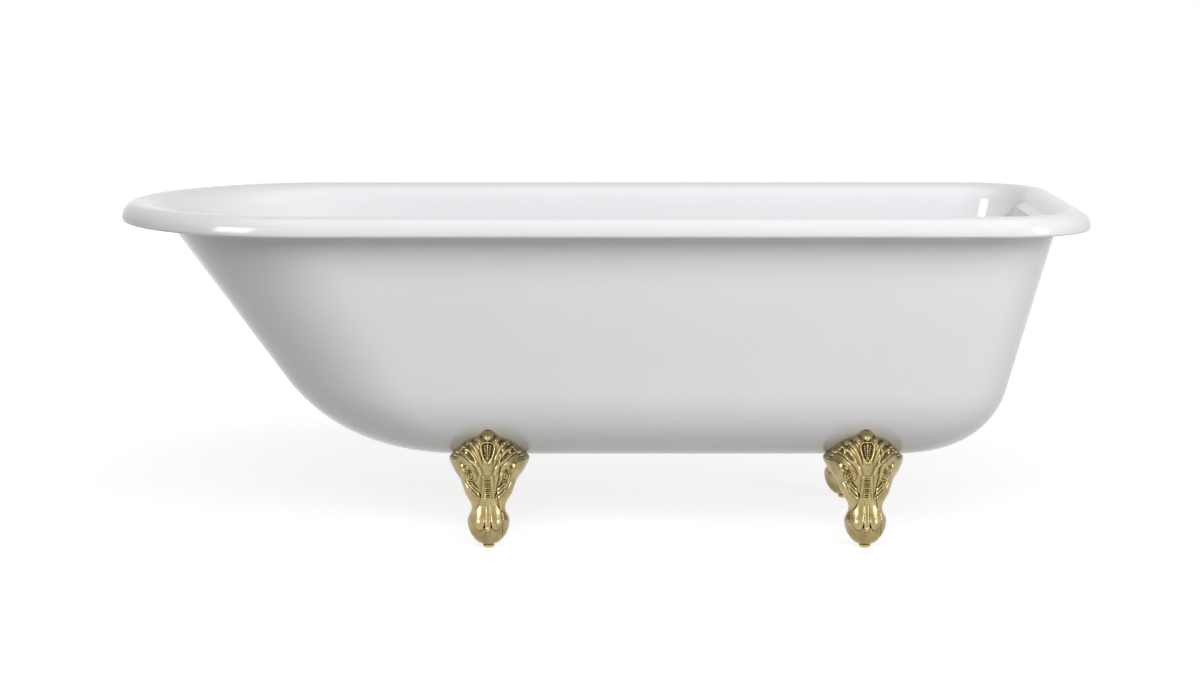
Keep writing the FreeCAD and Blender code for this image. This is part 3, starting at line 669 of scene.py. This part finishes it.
def hollow(name, low, high):
    """Room behind the front wall of the casting between two heights, open at the back."""
    rings = []
    heights = np.linspace(low, high, HOLLOW_RINGS)
    for height, (half_width, front, widest, back) in zip(heights, zip(*leg_sizes(heights))):
        ring = []
        for turn in np.linspace(-math.pi, math.pi, HOLLOW_STEPS, endpoint=False):
            depth = front - CAST_WALL + widest if math.cos(turn) > 0 else back + CAST_WALL - widest
            x, y = (half_width - CAST_WALL) * math.sin(turn), widest - depth * math.cos(turn)
            ring.append((x, y, height))
        rings.append(ring)
    return loft(name, rings)


def build_foot_mesh():
    """One casting, used four times."""
    grid, dark = cast_foot_grid()
    foot = loft("casting", grid)
    # Painted shade, partly patina, kept on the points for the brass material
    shade = foot.data.attributes.new("patina_and_shade", "FLOAT", "POINT")
    shade.data.foreach_set("value", dark.astype(np.float32).ravel())

    bolt_y = (LUG_Y + SCREW_Y["front"]) / -MM
    flange_top = LUG_FACE / MM
    flange_under = flange_top - FLANGE_THICK
    flange = [[(x, bolt_y + y, z) for x, y in FLANGE_OUTLINE]
              for z in (flange_under + FLANGE_GAP, flange_top - FLANGE_GAP)]
    cut = [hollow("low_hollow", HOLLOW_BOTTOM, flange_under), hollow("high_hollow", flange_top, HOLLOW_TOP)]
    boolean(foot, cut, "DIFFERENCE")
    boolean(foot, [loft("flange", flange)], "UNION")
    radius, start, length = BOLT_HOLE
    cut = [cylinder("bolt_hole", radius, Vector((0, bolt_y * MM, start)), UP, length)]
    radius, start, length = SCREW_BORE
    cut.append(cylinder("screw_bore", radius, Vector((0, 0, start)), UP, length, SMALL_ROUND_STEPS))
    boolean(foot, cut, "DIFFERENCE")
    shade_smooth(foot, 60.0)
    dress(foot, SLOT_MATERIALS["foot_brass"])
    mesh = foot.data
    bpy.data.objects.remove(foot)
    return mesh


def build_feet():
    """The same casting at the four corners, turned about for the back ones."""
    casting = build_foot_mesh()
    for end, screw_x in SCREW_X.items():
        for side, screw_y in SCREW_Y.items():
            corner = end + "_" + side
            foot = bpy.data.objects.new("claw_foot_" + corner, casting)
            bpy.context.scene.collection.objects.link(foot)
            foot.location = (screw_x, screw_y, 0)
            foot.rotation_euler = (0, 0, math.pi if side == "back" else 0)
            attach(foot, "bath")
            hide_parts("foot_" + corner)


build_feet()


# ---------------------------------------------------------------- studio
FLOOR_HALF, FLOOR_GREY = 30.0, 0.46
SHADOW_START, SHADOW_END, SHADOW_LIFT = 1.0, 2.4, 0.78       # the floor turns white between these distances
SENSOR_WIDTH, LENS = 36.0, 82.74                             # millimetres
CAMERA_PLACE, CAMERA_TILT = (0.00425, -5.30593, 1.13897), 0.1451
LAMP_TARGET = (0.0, 0.0, 0.4)


def math_node(nodes, links, operation, first, second):
    node = nodes.new("ShaderNodeMath")
    node.operation = operation
    for socket, value in zip(node.inputs, (first, second)):
        if isinstance(value, float):
            socket.default_value = value
        else:
            links.new(value, socket)
    return node.outputs[0]


def map_range(nodes, links, value, low, high, to_low, to_high):
    node = nodes.new("ShaderNodeMapRange")
    node.interpolation_type = "SMOOTHSTEP"
    for name, number in zip(("From Min", "From Max", "To Min", "To Max"), (low, high, to_low, to_high)):
        node.inputs[name].default_value = number
    links.new(value, node.inputs["Value"])
    return node.outputs["Result"]


def seen_directly(nodes, links):
    """1 for camera, mirror and glass rays, 0 for the light that falls on other things."""
    rays = nodes.new("ShaderNodeLightPath")
    seen = math_node(nodes, links, "MAXIMUM", rays.outputs["Is Camera Ray"], rays.outputs["Is Glossy Ray"])
    return math_node(nodes, links, "MAXIMUM", seen, rays.outputs["Is Transmission Ray"])


def build_floor():
    """Matt floor that reads as white, with the bath's shadow kept near it."""
    half = FLOOR_HALF
    corners = [(-half, -half, 0), (half, -half, 0), (half, half, 0), (-half, half, 0)]
    floor = mesh_object("studio_floor", corners, [(0, 1, 2, 3)])
    material, nodes, links, shader = node_material("studio_floor")
    shader.inputs["Base Color"].default_value = (*grey(FLOOR_GREY), 1.0)
    shader.inputs["Roughness"].default_value = 0.9
    shader.inputs["Specular IOR Level"].default_value = 0.0
    away = nodes.new("ShaderNodeVectorMath")
    away.operation = "LENGTH"
    links.new(object_coordinates(nodes), away.inputs[0])
    lift = map_range(nodes, links, away.outputs["Value"], SHADOW_START, SHADOW_END, SHADOW_LIFT, 1.0)
    shader.inputs["Emission Color"].default_value = (1.0, 1.0, 1.0, 1.0)
    links.new(math_node(nodes, links, "MULTIPLY", seen_directly(nodes, links), lift),
              shader.inputs["Emission Strength"])
    dress(floor, material)


def build_world(ambient, background):
    world = bpy.data.worlds.new("studio")
    bpy.context.scene.world = world
    world.use_nodes = True
    nodes, links = world.node_tree.nodes, world.node_tree.links
    level = map_range(nodes, links, seen_directly(nodes, links), 0.0, 1.0, ambient, background)
    links.new(level, nodes["Background"].inputs["Strength"])
    nodes["Background"].inputs["Color"].default_value = (1.0, 1.0, 1.0, 1.0)


def area_light(name, place, size, power, target=LAMP_TARGET, shades=True, shines=True):
    """Softbox hidden from the camera; it may leave out its even light or its highlight."""
    data = bpy.data.lights.new(name, "AREA")
    data.shape, data.size, data.size_y, data.energy = "RECTANGLE", *size, power
    lamp = bpy.data.objects.new(name, data)
    lamp.visible_camera, lamp.visible_diffuse, lamp.visible_glossy = False, shades, shines
    lamp.location = place
    lamp.rotation_euler = (Vector(target) - Vector(place)).to_track_quat("-Z", "Y").to_euler()
    bpy.context.scene.collection.objects.link(lamp)


def build_camera():
    """Long-lens view along +Y from half a metre above the rim, tilted down."""
    data = bpy.data.cameras.new("camera")
    data.sensor_fit, data.sensor_width, data.lens = "HORIZONTAL", SENSOR_WIDTH, LENS
    camera = bpy.data.objects.new("camera", data)
    camera.location = CAMERA_PLACE
    camera.rotation_euler = (math.pi / 2 - CAMERA_TILT, 0, 0)
    bpy.context.scene.collection.objects.link(camera)
    bpy.context.scene.camera = camera


build_floor()
build_world(ambient=0.05, background=1.0)
area_light("overhead", (0.0, -0.5, 3.0), size=(3.4, 2.0), power=19.0)
area_light("front_high", (0.0, -6.1, 4.5), size=(8.0, 4.6), power=362.0, shines=False)
area_light("back_fill", (0.0, 6.5, 1.3), size=(7.0, 2.2), power=140.0, shines=False)
area_light("right_box", (3.4, -2.6, 1.6), size=(1.2, 2.0), power=44.0)
area_light("left_box", (-3.4, -2.9, 1.9), size=(1.6, 2.0), power=76.0, target=(0.0, 0.0, 0.5), shades=False)
build_camera()
bpy.context.scene.view_settings.view_transform = "Standard"
